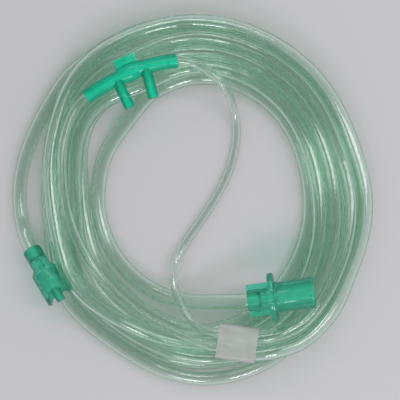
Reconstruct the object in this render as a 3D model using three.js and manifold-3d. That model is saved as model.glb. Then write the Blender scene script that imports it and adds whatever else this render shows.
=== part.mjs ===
import * as THREE from 'three';
import { mergeVertices } from 'three/addons/utils/BufferGeometryUtils.js';
import Module from 'manifold-3d';

// Nasal cannula with two lines, lying coiled on a flat surface. Millimetres, +Z up.
// The origin is under the middle of the whole bundle, on the surface it lies on.

const wasm = await Module();
wasm.setup();

// Tubing.
const SUPPLY_OD = 7.0;
const SAMPLING_OD = 6.2;
const THIN_OD = 4.0;
const CLEARANCE = 0.3;
const SOCKET_DEPTH = 5.0;
const END_GAP = 0.6;
const PUSH_IN = 1.0;
// Straight length of a tube as it leaves a socket.
const LEAD = 2.0;
const SOCKET_RELIEF = 2.0;
// How far a cutting shape runs on past the face that it opens.
const PAST = 1.0;

// The coil of turns, as one ring. Its middle lies a little off the origin.
const COIL_X = 0.456;
const COIL_Y = 0.919;
const LAYER = 7.0;
const RING_STEPS = 80;
const RIDGES = 3;
const RIDGE_DEPTH = 1.1;
const RIDGE_FOOT = 0.42;
const RIDGE_TOP = 0.2;

// Outlines of the ring, in turn from the right-hand side, clockwise as seen from above.
// Each row: degrees, inner radius, outer radius, inner and outer radius of the upper layers, height.
const RING_STATIONS = [
  [0, 50.3, 79.7, 52.5, 76.5, 13.2],
  [12, 50.8, 79.9, 53.0, 76.5, 13.2],
  [20, 51.2, 80.1, 53.8, 76.0, 13.2],
  [25, 51.6, 80.3, 54.4, 67.4, 13.2],
  [34, 52.2, 80.8, 56.0, 67.2, 13.2],
  [43, 52.9, 81.2, 60.0, 67.4, 13.2],
  [50, 54.3, 82.3, 65.4, 69.4, 13.2],
  [58, 55.4, 83.8, 66.6, 75.0, 13.2],
  [66, 56.2, 84.9, 63.0, 79.5, 13.2],
  [75, 57.2, 85.6, 60.5, 80.5, 13.2],
  [90, 57.4, 84.6, 60.5, 79.5, 13.2],
  [105, 54.0, 79.7, 57.0, 74.5, 13.2],
  [116, 53.0, 76.1, 55.5, 71.0, 13.2],
  [127, 51.8, 74.8, 53.8, 67.5, 13.6],
  [142, 51.6, 74.6, 53.2, 62.0, 14.2],
  [157, 50.3, 67.6, 52.0, 60.0, 16.6],
  [168, 49.0, 65.0, 50.8, 61.5, 18.6],
  [183, 49.0, 64.8, 50.8, 62.0, 19.0],
  [195, 51.6, 66.3, 53.4, 63.5, 18.0],
  [206, 55.2, 68.4, 57.0, 66.0, 15.6],
  [214, 57.2, 70.6, 59.2, 68.0, 13.6],
  [221, 57.0, 72.0, 60.0, 69.5, 13.2],
  [226, 56.0, 73.2, 59.5, 70.5, 13.2],
  [231, 54.0, 80.1, 58.5, 75.0, 13.2],
  [236, 51.0, 80.5, 56.0, 76.0, 13.2],
  [243, 47.4, 80.8, 52.5, 76.8, 13.2],
  [256, 49.2, 82.0, 52.5, 78.0, 13.2],
  [270, 52.1, 82.8, 54.5, 79.5, 13.2],
  [285, 53.0, 81.9, 55.5, 78.5, 13.2],
  [300, 53.0, 80.1, 55.5, 76.5, 13.2],
  [315, 53.0, 79.2, 55.0, 75.5, 13.2],
  [330, 51.6, 77.4, 54.0, 74.0, 13.2],
  [342, 50.7, 76.7, 53.0, 73.5, 13.2],
  [350, 50.3, 77.8, 52.5, 74.5, 13.2],
];

// Nosepiece.
const ARM_OD = 6.4;
const BRIDGE_LENGTH = 17.5;
const BRIDGE_WIDTH = 8.4;
const BRIDGE_THICKNESS = 7.0;
const AIRWAY = 2.8;
const PRONG_OD = 4.8;
const PRONG_BORE = 3.2;
const PRONG_MIDDLE_RISE = 0.3;
const PRONG_RISE = 5.0;
const TAB_LENGTH = 9.8;
const TAB_REACH = 7.4;
const TAB_THICKNESS = 1.3;
const NOSEPIECE_Z = 16.9;

// Clear block that joins the two thin tubes to the two lines.
const JUNCTION_LENGTH = 17.4;
const JUNCTION_WIDTH = 15.6;
const JUNCTION_THICKNESS = 8.8;
const JUNCTION_CORNER = 3.2;
const JUNCTION_X = 19.8;
const JUNCTION_Y = -63.9;
const JUNCTION_Z = 17.9;
const JUNCTION_TURN = -8.5;
const LINE_PITCH = 7.0;
const JUNCTION_BORE = 2.4;
const LINE_CLEARANCE = 0.1;

// Flanged connector on the oxygen line.
const FLANGED_X = 35.6;
const FLANGED_Y = -43.9;
const FLANGED_Z = 19.4;
const FLANGED_TURN = 8;
const FLANGED_PITCH = 6;
const FLANGE_OD = 22.0;
const FLANGE_THICKNESS = 2.3;
const BARREL_OD = 13.6;
const BARREL_BORE = 10.8;
const BARREL_LENGTH = 17.2;
const GRIP_LENGTH = 10.0;
const GRIP_WALL = 1.0;
const WING_SPAN = 14.4;
const WING_THICKNESS = 2.4;
const WING_ROOT = 0.2;
const FLANGED_AIRWAY = 4.4;
const FLANGE_FLOOR = 0.6;
const EDGE_EASE = 0.4;
const ROOT_EASE = 0.8;

// Locking connector on the sampling line.
const LOCKING_X = -71.8;
const LOCKING_Y = -22.9;
const LOCKING_Z = 7.4;
const LOCKING_TURN = -57.7;
const LOCKING_PITCH = 15.5;
const STEM_WALL = 0.8;
const STEM_LENGTH = 9.6;
const SHOULDER = 2.4;
const COLLAR_OD = 12.2;
const COLLAR_BORE = 9.2;
const COLLAR_FLOOR = 0.8;
const COLLAR_LENGTH = 10.4;
const LUG_LENGTH = 3.8;
const LUG_GAP = 6.2;
const CONE_OD = 4.4;
const CONE_TIP_OD = 3.9;
const CONE_BORE = 2.2;
const CONE_PROUD = 1.0;

const rad = THREE.MathUtils.degToRad;

function material(color, roughness, opacity = 1) {
  return new THREE.MeshStandardMaterial({
    color,
    roughness,
    metalness: 0,
    transparent: opacity < 1,
    opacity,
  });
}

function named(name, geometry, look) {
  const mesh = new THREE.Mesh(geometry, look);
  mesh.name = name;
  return mesh;
}

// Boolean work on closed meshes.
function toSolid(geometry) {
  const bare = geometry.clone();
  bare.deleteAttribute('normal');
  bare.deleteAttribute('uv');
  const merged = mergeVertices(bare, 1e-4);
  const mesh = new wasm.Mesh({
    numProp: 3,
    vertProperties: new Float32Array(merged.attributes.position.array),
    triVerts: new Uint32Array(merged.index.array),
  });
  return new wasm.Manifold(mesh);
}

function toGeometry(solid) {
  const mesh = solid.getMesh();
  const geometry = new THREE.BufferGeometry();
  geometry.setAttribute('position', new THREE.BufferAttribute(new Float32Array(mesh.vertProperties), 3));
  geometry.setIndex(new THREE.BufferAttribute(new Uint32Array(mesh.triVerts), 1));
  geometry.computeVertexNormals();
  return geometry;
}

function join(geometries) {
  return geometries.map(toSolid).reduce((whole, piece) => whole.add(piece));
}

function cut(solid, geometries) {
  return geometries.map(toSolid).reduce((rest, tool) => rest.subtract(tool), solid);
}

// A round bar along a smooth route; the last steps run to the route's exact ends.
function bar(route, diameter, sides, steps) {
  const curve = new THREE.CatmullRomCurve3(route, false, 'centripetal');
  const circle = new THREE.Shape();
  for (let k = 0; k < sides; k += 1) {
    const turn = (2 * Math.PI * (k + 0.5)) / sides;
    const x = (diameter / 2) * Math.cos(turn);
    const y = (diameter / 2) * Math.sin(turn);
    if (k === 0) circle.moveTo(x, y);
    else circle.lineTo(x, y);
  }
  circle.closePath();
  return new THREE.ExtrudeGeometry(circle, { steps, extrudePath: curve, bevelEnabled: false });
}

// A straight round bar along +X from one place to another.
function rod(diameter, from, to, sides = 32) {
  const geometry = new THREE.CylinderGeometry(diameter / 2, diameter / 2, to - from, sides);
  geometry.rotateZ(-Math.PI / 2);
  geometry.translate((from + to) / 2, 0, 0);
  return geometry;
}

// A profile of [distance along X, radius] pairs turned about the X axis.
function turned(profile, sides = 36) {
  const points = profile.map(([along, radius]) => new THREE.Vector2(radius, along));
  const geometry = new THREE.LatheGeometry(points, sides);
  geometry.rotateZ(-Math.PI / 2);
  return geometry;
}

function point([x, y, z]) {
  return new THREE.Vector3(x, y, z);
}

// Values of the ring's outline at any angle, in even steps between its stations.
function ringAt(degrees) {
  const rows = RING_STATIONS;
  let index = rows.length - 1;
  for (let k = 0; k < rows.length; k += 1) {
    if (rows[k][0] <= degrees) index = k;
  }
  const here = rows[index];
  const next = rows[(index + 1) % rows.length];
  const span = index === rows.length - 1 ? 360 - here[0] : next[0] - here[0];
  const share = (degrees - here[0]) / span;
  return here.slice(1).map((value, k) => THREE.MathUtils.lerp(value, next[k + 1], share));
}

// One upright cut through the ring: a rounded bottom layer, and upper layers with a ridge for each turn.
function ringSection([inner, outer, topInner, topOuter, height]) {
  const r = LAYER / 2;
  const points = [];
  for (const turn of [-90, -50, -10, 30, 62]) {
    points.push([outer - r + r * Math.cos(rad(turn)), r + r * Math.sin(rad(turn))]);
  }
  points.push([Math.min(topOuter, outer - r), LAYER]);
  const pitch = (topOuter - topInner) / RIDGES;
  for (let k = 0; k < RIDGES; k += 1) {
    const middle = topOuter - pitch * (k + 0.5);
    points.push([middle + pitch * RIDGE_FOOT, height - 2 * RIDGE_DEPTH]);
    points.push([middle + pitch * RIDGE_TOP, height]);
    points.push([middle - pitch * RIDGE_TOP, height]);
    points.push([middle - pitch * RIDGE_FOOT, height - 2 * RIDGE_DEPTH]);
  }
  points.push([topInner, LAYER]);
  for (const turn of [118, 150, 190, 230, 270]) {
    points.push([inner + r + r * Math.cos(rad(turn)), r + r * Math.sin(rad(turn))]);
  }
  return points.reverse();
}

function coiledTurns() {
  const profile = ringSection(ringAt(0));
  const closed = [...profile, profile[0]].map(([x, y]) => new THREE.Vector2(x, y));
  const geometry = new THREE.LatheGeometry(closed, RING_STEPS);
  geometry.rotateX(Math.PI / 2);
  const place = geometry.attributes.position;
  for (let step = 0; step <= RING_STEPS; step += 1) {
    const degrees = (360 * (step % RING_STEPS)) / RING_STEPS;
    const section = ringSection(ringAt(degrees));
    for (let k = 0; k < closed.length; k += 1) {
      const [radius, z] = section[k % section.length];
      const x = radius * Math.cos(rad(-degrees));
      const y = radius * Math.sin(rad(-degrees));
      place.setXYZ(step * closed.length + k, x, y, z);
    }
  }
  const solid = toSolid(geometry);
  return toGeometry(solid);
}

// Places on the ring's plan, by angle clockwise from the right and by radius.
function around(degrees, radius, z) {
  return new THREE.Vector3(radius * Math.cos(rad(-degrees)), radius * Math.sin(rad(-degrees)), z);
}

// The way that faces a given number of degrees round from +X, tilted up by a pitch.
function facing(turn, pitch) {
  return new THREE.Vector3(
    Math.cos(rad(pitch)) * Math.cos(rad(turn)),
    Math.cos(rad(pitch)) * Math.sin(rad(turn)),
    Math.sin(rad(pitch)),
  );
}

function along(origin, direction, distance) {
  return origin.clone().addScaledVector(direction, distance);
}

// Nosepiece: a soft moulded bar with two curved prongs, a flat tab and a socket at each end.
const armRoute = [
  [-46.9, 44.5, NOSEPIECE_Z],
  [-39.8, 48.9, NOSEPIECE_Z],
  [-32.9, 52.6, NOSEPIECE_Z],
  [-27.4, 55.4, NOSEPIECE_Z],
  [-21.6, 57.6, NOSEPIECE_Z],
  [-14.2, 59.4, NOSEPIECE_Z],
  [-6.5, 60.6, NOSEPIECE_Z],
].map(point);
const prongRoots = [
  [-33.0, 52.0],
  [-20.4, 57.2],
];
const prongTips = [
  [-27.2, 39.7],
  [-16.8, 43.9],
];

function prongRoute([x0, y0], [x1, y1], extra) {
  const start = new THREE.Vector3(x0, y0, NOSEPIECE_Z);
  const z = NOSEPIECE_Z + PRONG_RISE * PRONG_MIDDLE_RISE;
  const middle = new THREE.Vector3((x0 + x1) / 2, (y0 + y1) / 2, z);
  const tip = new THREE.Vector3(x1, y1, NOSEPIECE_Z + PRONG_RISE);
  const out = tip.clone().sub(middle).normalize();
  return [start, middle, tip.addScaledVector(out, extra)];
}

function nosepiece() {
  const arm = bar(armRoute, ARM_OD, 16, 14);
  const bridge = new THREE.SphereGeometry(0.5, 20, 12);
  bridge.scale(BRIDGE_LENGTH, BRIDGE_WIDTH, BRIDGE_THICKNESS);
  const middle = armRoute[3];
  const lean = Math.atan2(armRoute[4].y - armRoute[2].y, armRoute[4].x - armRoute[2].x);
  bridge.rotateZ(lean);
  bridge.translate(middle.x, middle.y, middle.z);
  const tab = new THREE.BoxGeometry(TAB_LENGTH, TAB_REACH, TAB_THICKNESS);
  tab.translate(0, TAB_REACH / 2, 0);
  tab.rotateZ(lean);
  tab.translate(middle.x, middle.y, middle.z);
  const prongs = prongRoots.map((root, k) => bar(prongRoute(root, prongTips[k], 0), PRONG_OD, 16, 6));
  const solid = join([arm, bridge, tab, ...prongs]);

  const airway = bar(armRoute, AIRWAY, 10, 12);
  const bores = prongRoots.map((root, k) => bar(prongRoute(root, prongTips[k], PAST), PRONG_BORE, 12, 6));
  const sockets = [
    [armRoute[0], armRoute[1]],
    [armRoute[6], armRoute[5]],
  ].map(([end, inside]) => {
    const inward = inside.clone().sub(end).normalize();
    return bar([along(end, inward, -PAST), along(end, inward, SOCKET_DEPTH)], THIN_OD + 2 * CLEARANCE, 16, 1);
  });
  return toGeometry(cut(solid, [airway, ...bores, ...sockets]));
}

// Junction block: rounded clear block, two thin-tube sockets on one end and two line sockets on the other.
const junctionOrigin = new THREE.Vector3(JUNCTION_X, JUNCTION_Y, JUNCTION_Z);
const junctionForward = facing(JUNCTION_TURN, 0);
const junctionSide = facing(JUNCTION_TURN + 90, 0);

function junctionPlace(x, y) {
  return along(along(junctionOrigin, junctionForward, x), junctionSide, y);
}

function junctionBlock() {
  const outline = new THREE.Shape();
  const w = JUNCTION_WIDTH / 2 - JUNCTION_CORNER;
  const t = JUNCTION_THICKNESS / 2 - JUNCTION_CORNER;
  outline.moveTo(-w, -t - JUNCTION_CORNER);
  outline.lineTo(w, -t - JUNCTION_CORNER);
  outline.absarc(w, -t, JUNCTION_CORNER, -Math.PI / 2, 0);
  outline.lineTo(w + JUNCTION_CORNER, t);
  outline.absarc(w, t, JUNCTION_CORNER, 0, Math.PI / 2);
  outline.lineTo(-w, t + JUNCTION_CORNER);
  outline.absarc(-w, t, JUNCTION_CORNER, Math.PI / 2, Math.PI);
  outline.lineTo(-w - JUNCTION_CORNER, -t);
  outline.absarc(-w, -t, JUNCTION_CORNER, Math.PI, 1.5 * Math.PI);
  const block = new THREE.ExtrudeGeometry(outline, {
    depth: JUNCTION_LENGTH,
    bevelEnabled: false,
    curveSegments: 5,
  });
  block.translate(0, 0, -JUNCTION_LENGTH / 2);
  block.rotateX(Math.PI / 2);
  block.rotateZ(Math.PI / 2);
  const half = JUNCTION_LENGTH / 2;
  const cuts = [];
  for (const [side, line] of [[1, SAMPLING_OD], [-1, SUPPLY_OD]]) {
    const offset = (side * LINE_PITCH) / 2;
    const airway = rod(JUNCTION_BORE, -half - PAST, half + PAST, 12);
    const thin = rod(THIN_OD + 2 * CLEARANCE, -half - PAST, -half + SOCKET_DEPTH, 20);
    const wide = rod(line + 2 * LINE_CLEARANCE, half - SOCKET_DEPTH, half + PAST, 24);
    for (const tool of [airway, thin, wide]) {
      tool.translate(0, offset, 0);
      cuts.push(tool);
    }
  }
  return toGeometry(cut(toSolid(block), cuts));
}

// Flanged connector: winged socket for the line, a round flange and an open barrel.
const flangedOrigin = new THREE.Vector3(FLANGED_X, FLANGED_Y, FLANGED_Z);
const flangedForward = facing(FLANGED_TURN, FLANGED_PITCH);

function flangedConnector() {
  const socketOd = SUPPLY_OD + 2 * CLEARANCE + 2 * GRIP_WALL;
  const barrelEnd = FLANGE_THICKNESS / 2 + BARREL_LENGTH;
  const gripEnd = -FLANGE_THICKNESS / 2 - GRIP_LENGTH;
  const body = turned([
    [gripEnd, 0],
    [gripEnd, socketOd / 2 - EDGE_EASE],
    [gripEnd + ROOT_EASE, socketOd / 2],
    [-FLANGE_THICKNESS / 2, socketOd / 2],
    [-FLANGE_THICKNESS / 2, FLANGE_OD / 2 - EDGE_EASE],
    [-FLANGE_THICKNESS / 2 + EDGE_EASE, FLANGE_OD / 2],
    [FLANGE_THICKNESS / 2 - EDGE_EASE, FLANGE_OD / 2],
    [FLANGE_THICKNESS / 2, FLANGE_OD / 2 - EDGE_EASE],
    [FLANGE_THICKNESS / 2, BARREL_OD / 2 + ROOT_EASE],
    [FLANGE_THICKNESS / 2 + ROOT_EASE, BARREL_OD / 2],
    [barrelEnd, BARREL_OD / 2],
    [barrelEnd, 0],
  ]);
  const wing = new THREE.BoxGeometry(GRIP_LENGTH + WING_ROOT, WING_SPAN, WING_THICKNESS);
  wing.translate(-FLANGE_THICKNESS / 2 - (GRIP_LENGTH - WING_ROOT) / 2, 0, 0);
  const bore = rod(BARREL_BORE, FLANGE_THICKNESS / 2 + FLANGE_FLOOR, barrelEnd + PAST, 32);
  const airway = rod(FLANGED_AIRWAY, gripEnd - PAST, barrelEnd, 16);
  const socketEnd = gripEnd + SOCKET_DEPTH + SOCKET_RELIEF;
  const socket = rod(SUPPLY_OD + 2 * CLEARANCE, gripEnd - PAST, socketEnd, 24);
  return toGeometry(cut(join([body, wing]), [bore, airway, socket]));
}

// Locking connector: stem, shoulder, collar with two lugs, and a tapered cone inside.
const lockingOrigin = new THREE.Vector3(LOCKING_X, LOCKING_Y, LOCKING_Z);
const lockingForward = facing(LOCKING_TURN, LOCKING_PITCH);

function lockingConnector() {
  const stemOd = SAMPLING_OD + 2 * CLEARANCE + 2 * STEM_WALL;
  const collarStart = STEM_LENGTH + SHOULDER;
  const collarEnd = collarStart + COLLAR_LENGTH;
  const lugEnd = collarEnd + LUG_LENGTH;
  const body = turned([
    [0, 0],
    [0, stemOd / 2 - EDGE_EASE],
    [ROOT_EASE, stemOd / 2],
    [STEM_LENGTH, stemOd / 2],
    [collarStart, COLLAR_OD / 2],
    [lugEnd, COLLAR_OD / 2],
    [lugEnd, 0],
  ]);
  const hollow = rod(COLLAR_BORE, collarStart + COLLAR_FLOOR, lugEnd + PAST, 32);
  const slot = new THREE.BoxGeometry(LUG_LENGTH + PAST, LUG_GAP, COLLAR_OD + 2 * PAST);
  slot.translate(collarEnd + (LUG_LENGTH + PAST) / 2, 0, 0);
  const cone = turned([
    [STEM_LENGTH, 0],
    [STEM_LENGTH, CONE_OD / 2],
    [collarStart, CONE_OD / 2],
    [lugEnd + CONE_PROUD, CONE_TIP_OD / 2],
    [lugEnd + CONE_PROUD, 0],
  ], 20);
  const airway = rod(CONE_BORE, -PAST, lugEnd + CONE_PROUD + PAST, 12);
  const socket = rod(SAMPLING_OD + 2 * CLEARANCE, -PAST, SOCKET_DEPTH + SOCKET_RELIEF, 24);
  const shell = cut(toSolid(body), [hollow, slot]);
  return toGeometry(cut(shell.add(toSolid(cone)), [airway, socket]));
}

// Thin tube from the nosepiece's right end: down across the opening, over the oxygen line, to the junction.
const thinRightRoute = [
  along(armRoute[6], armRoute[5].clone().sub(armRoute[6]).normalize(), SOCKET_DEPTH - END_GAP),
  along(armRoute[6], armRoute[5].clone().sub(armRoute[6]).normalize(), -LEAD),
  ...[
    [1.6, 59.4, 16.4],
    [7.6, 56.0, 15.9],
    [12.6, 51.6, 15.2],
    [16.4, 46.0, 11.2],
    [18.9, 39.5, 5.6],
    [20.0, 32.0, 2.6],
    [19.6, 24.0, 2.3],
    [17.4, 14.5, 2.3],
    [13.6, 5.6, 2.3],
    [8.4, -3.4, 2.3],
    [2.6, -12.0, 2.3],
    [-3.2, -20.2, 2.4],
    [-7.0, -28.0, 3.8],
    [-8.6, -36.0, 7.8],
    [-7.0, -44.0, 10.4],
    [-3.4, -50.4, 11.8],
    [1.2, -56.0, 14.6],
    [5.8, -59.2, 17.0],
  ].map(point),
  junctionPlace(-JUNCTION_LENGTH / 2 - 1, LINE_PITCH / 2),
  junctionPlace(-JUNCTION_LENGTH / 2 + SOCKET_DEPTH - END_GAP, LINE_PITCH / 2),
];

// Thin tube from the nosepiece's left end: along the top of the turns to the junction.
const thinLeftRoute = [
  along(armRoute[0], armRoute[1].clone().sub(armRoute[0]).normalize(), SOCKET_DEPTH - END_GAP),
  along(armRoute[0], armRoute[1].clone().sub(armRoute[0]).normalize(), -LEAD),
  ...[
    [-52.0, 38.6, 17.4],
    [-55.4, 30.6, 19.4],
    [-57.0, 21.0, 20.9],
    [-57.2, 11.0, 21.6],
    [-56.3, 1.0, 21.7],
    [-54.2, -9.0, 21.1],
    [-50.6, -18.6, 19.6],
    [-45.8, -27.6, 17.8],
    [-39.6, -36.2, 16.6],
    [-32.0, -44.4, 15.8],
    [-23.4, -51.0, 15.6],
    [-14.0, -56.4, 15.6],
    [-4.6, -60.6, 15.8],
    [3.0, -63.6, 16.8],
  ].map(point),
  junctionPlace(-JUNCTION_LENGTH / 2 - 1, -LINE_PITCH / 2),
  junctionPlace(-JUNCTION_LENGTH / 2 + SOCKET_DEPTH - END_GAP, -LINE_PITCH / 2),
];

// Each line from the junction to where it joins the turns, and from the turns to its connector.
const oxygenStartRoute = [
  junctionPlace(JUNCTION_LENGTH / 2 - SOCKET_DEPTH + END_GAP, -LINE_PITCH / 2),
  junctionPlace(JUNCTION_LENGTH / 2 + LEAD, -LINE_PITCH / 2),
  around(59.5, 77.6, 17.8),
  around(52.5, 80.0, 15.6),
  around(45, 80.0, 12.6),
  around(37, 79.2, 10.9),
  around(27, 78.4, 10.9),
];
const samplingStartRoute = [
  junctionPlace(JUNCTION_LENGTH / 2 - SOCKET_DEPTH + END_GAP, LINE_PITCH / 2),
  junctionPlace(JUNCTION_LENGTH / 2 + LEAD, LINE_PITCH / 2),
  around(57, 71.6, 17.2),
  around(49.5, 73.6, 14.8),
  around(42, 73.0, 11.6),
  around(34, 72.2, 10.6),
  around(27, 71.6, 10.6),
];
const oxygenEndRoute = [
  around(236, 46.9, SUPPLY_OD / 2),
  around(228, 46.0, SUPPLY_OD / 2),
  around(215, 45.0, SUPPLY_OD / 2),
  around(200, 44.2, SUPPLY_OD / 2),
  around(185, 43.6, SUPPLY_OD / 2),
  around(170, 43.6, SUPPLY_OD / 2),
  around(155, 43.8, SUPPLY_OD / 2),
  around(140, 44.2, SUPPLY_OD / 2),
  around(125, 44.8, SUPPLY_OD / 2),
  around(110, 45.6, SUPPLY_OD / 2),
  around(97, 46.2, 4.6),
  around(86, 46.6, 8.2),
  around(75, 47.6, 13.4),
  along(flangedOrigin, flangedForward, -FLANGE_THICKNESS / 2 - GRIP_LENGTH - 3),
  along(flangedOrigin, flangedForward, -FLANGE_THICKNESS / 2 - GRIP_LENGTH + SOCKET_DEPTH + PUSH_IN),
];
const samplingEndRoute = [
  around(225.5, 77.2, SAMPLING_OD / 2),
  around(218, 76.4, SAMPLING_OD / 2),
  around(208, 76.0, SAMPLING_OD / 2),
  around(198, 76.6, SAMPLING_OD / 2),
  around(188, 77.4, SAMPLING_OD / 2),
  around(178, 77.6, SAMPLING_OD / 2),
  around(170, 77.0, 3.6),
  along(lockingOrigin, lockingForward, -2),
  along(lockingOrigin, lockingForward, SOCKET_DEPTH + PUSH_IN),
];

const softGreen = () => material(0x1cba98, 0.25, 0.85);
const paleTube = () => material(0xa9d3b8, 0.2, 0.55);

const cannula = new THREE.Group();
cannula.position.set(COIL_X, COIL_Y, 0);
cannula.add(named('coiled_tubing', coiledTurns(), paleTube()));
cannula.add(named('nosepiece', nosepiece(), softGreen()));
cannula.add(named('thin_tube_right', bar(thinRightRoute, THIN_OD, 8, 26), paleTube()));
cannula.add(named('thin_tube_left', bar(thinLeftRoute, THIN_OD, 8, 26), paleTube()));
cannula.add(named('oxygen_line_start', bar(oxygenStartRoute, SUPPLY_OD, 10, 8), paleTube()));
cannula.add(named('sampling_line_start', bar(samplingStartRoute, SAMPLING_OD, 10, 8), paleTube()));
cannula.add(named('oxygen_line_end', bar(oxygenEndRoute, SUPPLY_OD, 12, 22), paleTube()));
cannula.add(named('sampling_line_end', bar(samplingEndRoute, SAMPLING_OD, 12, 14), paleTube()));

const junction = named('junction', junctionBlock(), material(0xb4c2b4, 0.15, 0.5));
junction.position.copy(junctionOrigin);
junction.rotation.z = rad(JUNCTION_TURN);
cannula.add(junction);

function aimed(mesh, origin, turn, pitch) {
  mesh.position.copy(origin);
  mesh.rotation.set(0, -rad(pitch), rad(turn), 'ZYX');
  return mesh;
}

const flanged = named('flanged_connector', flangedConnector(), softGreen());
cannula.add(aimed(flanged, flangedOrigin, FLANGED_TURN, FLANGED_PITCH));
const locking = named('locking_connector', lockingConnector(), softGreen());
cannula.add(aimed(locking, lockingOrigin, LOCKING_TURN, LOCKING_PITCH));

export default cannula;
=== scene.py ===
import math

import bmesh
import bpy
import numpy as np
from mathutils import Matrix, Vector


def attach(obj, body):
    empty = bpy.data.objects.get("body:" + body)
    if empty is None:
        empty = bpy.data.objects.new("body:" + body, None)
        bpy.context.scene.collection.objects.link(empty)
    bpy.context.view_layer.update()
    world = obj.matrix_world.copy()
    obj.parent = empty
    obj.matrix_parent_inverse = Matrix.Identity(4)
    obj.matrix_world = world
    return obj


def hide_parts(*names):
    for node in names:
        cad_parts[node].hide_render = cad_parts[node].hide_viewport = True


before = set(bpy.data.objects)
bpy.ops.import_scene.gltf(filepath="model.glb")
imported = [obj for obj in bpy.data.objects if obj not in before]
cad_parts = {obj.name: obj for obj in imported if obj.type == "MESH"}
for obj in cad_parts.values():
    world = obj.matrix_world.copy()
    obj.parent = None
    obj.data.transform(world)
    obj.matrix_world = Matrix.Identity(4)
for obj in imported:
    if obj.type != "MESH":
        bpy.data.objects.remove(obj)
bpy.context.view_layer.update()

# The view from straight above, as the cannula lies coiled on a table.
# The picture is 400 by 400 pixels, and 0.445 mm of the table shows in each.
METRES_PER_PIXEL = 0.000445
PICTURE = 400
COIL_MIDDLE = Vector((0.000456, 0.000919, 0.0))
COIL_MIDDLE_PIXEL = (192.0, 198.0)
EYE_HEIGHT = 0.80
LOOK_HEIGHT = 0.010

middle_x = COIL_MIDDLE.x + (PICTURE / 2 - COIL_MIDDLE_PIXEL[0]) * METRES_PER_PIXEL
middle_y = COIL_MIDDLE.y - (PICTURE / 2 - COIL_MIDDLE_PIXEL[1]) * METRES_PER_PIXEL
camera_data = bpy.data.cameras.new("camera")
camera_data.sensor_width = 36.0
camera_data.lens = 36.0 * (EYE_HEIGHT - LOOK_HEIGHT) / (PICTURE * METRES_PER_PIXEL)
camera_data.clip_end = 20.0
camera = bpy.data.objects.new("camera", camera_data)
camera.location = (middle_x, middle_y, EYE_HEIGHT)
bpy.context.collection.objects.link(camera)
bpy.context.scene.camera = camera


def lamp(name, place, size, power, tint=(1.0, 1.0, 1.0)):
    """A soft box that faces the coil."""
    data = bpy.data.lights.new(name, "AREA")
    data.shape = "RECTANGLE"
    data.size, data.size_y = size
    data.energy = power
    data.color = tint
    box = bpy.data.objects.new(name, data)
    box.location = place
    box.rotation_euler = (Vector(place) - Vector((0, 0, 0.01))).to_track_quat("Z", "Y").to_euler()
    bpy.context.collection.objects.link(box)
    return box


lamp("window_box", (0.62, 0.16, 0.95), (0.22, 0.75), 4.2)
lamp("back_box", (0.02, 0.72, 0.95), (0.70, 0.16), 3.2)
lamp("low_box_left", (-0.10, -0.80, 0.80), (0.24, 0.24), 3.2)
lamp("low_box_right", (0.25, -0.78, 0.80), (0.20, 0.24), 2.9)

world = bpy.data.worlds.new("room")
world.use_nodes = True
world.node_tree.nodes["Background"].inputs["Color"].default_value = (0.93, 0.95, 0.97, 1)
world.node_tree.nodes["Background"].inputs["Strength"].default_value = 0.36
bpy.context.scene.world = world
bpy.context.scene.view_settings.view_transform = "Standard"

FLOOR_SIZE = 4.0
floor_mesh = bpy.data.meshes.new("table_top")
half = FLOOR_SIZE / 2
floor_mesh.from_pydata(
    [(-half, -half, 0), (half, -half, 0), (half, half, 0), (-half, half, 0)], [], [(0, 1, 2, 3)]
)
table_top = bpy.data.objects.new("table_top", floor_mesh)
table_top.location.z = -0.0002
bpy.context.collection.objects.link(table_top)
paint = bpy.data.materials.new("pale_table")
paint.use_nodes = True
paint.node_tree.nodes["Principled BSDF"].inputs["Base Color"].default_value = (0.50, 0.495, 0.505, 1)
paint.node_tree.nodes["Principled BSDF"].inputs["Roughness"].default_value = 0.7
floor_mesh.materials.append(paint)

# Bounces enough for light to pass through two or three layers of clear tube.
bpy.context.scene.cycles.max_bounces = 24
bpy.context.scene.cycles.transmission_bounces = 20
bpy.context.scene.cycles.transparent_max_bounces = 24
bpy.context.scene.cycles.glossy_bounces = 6
bpy.context.scene.cycles.diffuse_bounces = 4
bpy.context.scene.cycles.caustics_refractive = False
bpy.context.scene.cycles.caustics_reflective = False
bpy.context.scene.cycles.sample_clamp_indirect = 2.5


# Oxygen line: one clear vinyl supply tube in about four turns, extruded and hollow.
# It is pushed and glued into the junction at one end and into the flanged connector's grip at the other.
# All four tubes lie on each other as they fell, so their places are worked out together here, by settling.
SUPPLY_OD = 0.0070
SUPPLY_BORE = 0.0046
SAMPLING_OD = 0.0062
SAMPLING_BORE = 0.0042
THIN_OD = 0.0040
THIN_BORE = 0.0024
BEAD = 0.0035

# The band of turns seen from above: degrees clockwise from the right, inner and outer edge.
BAND = (
    (0, 0.0503, 0.0797), (20, 0.0512, 0.0801), (43, 0.0529, 0.0812), (58, 0.0554, 0.0838),
    (75, 0.0572, 0.0856), (90, 0.0574, 0.0846), (105, 0.0540, 0.0797), (116, 0.0530, 0.0761),
    (127, 0.0518, 0.0748), (142, 0.0516, 0.0746), (157, 0.0503, 0.0676), (168, 0.0490, 0.0650),
    (183, 0.0490, 0.0648), (195, 0.0516, 0.0663), (206, 0.0552, 0.0684), (214, 0.0572, 0.0706),
    (226, 0.0560, 0.0770), (236, 0.0500, 0.0805), (243, 0.0474, 0.0808), (256, 0.0492, 0.0820),
    (270, 0.0521, 0.0828), (285, 0.0530, 0.0819), (300, 0.0530, 0.0801), (315, 0.0530, 0.0792),
    (330, 0.0516, 0.0774), (342, 0.0507, 0.0767), (350, 0.0503, 0.0778), (360, 0.0503, 0.0797),
)
band = np.array(BAND)
EDGE = 0.0035
TURN_STEP = 3.0
WINDING_START = 60.0
LEAD = 0.002
GRIP_LEAD = 0.003
PUSH_IN = 0.001


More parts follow.
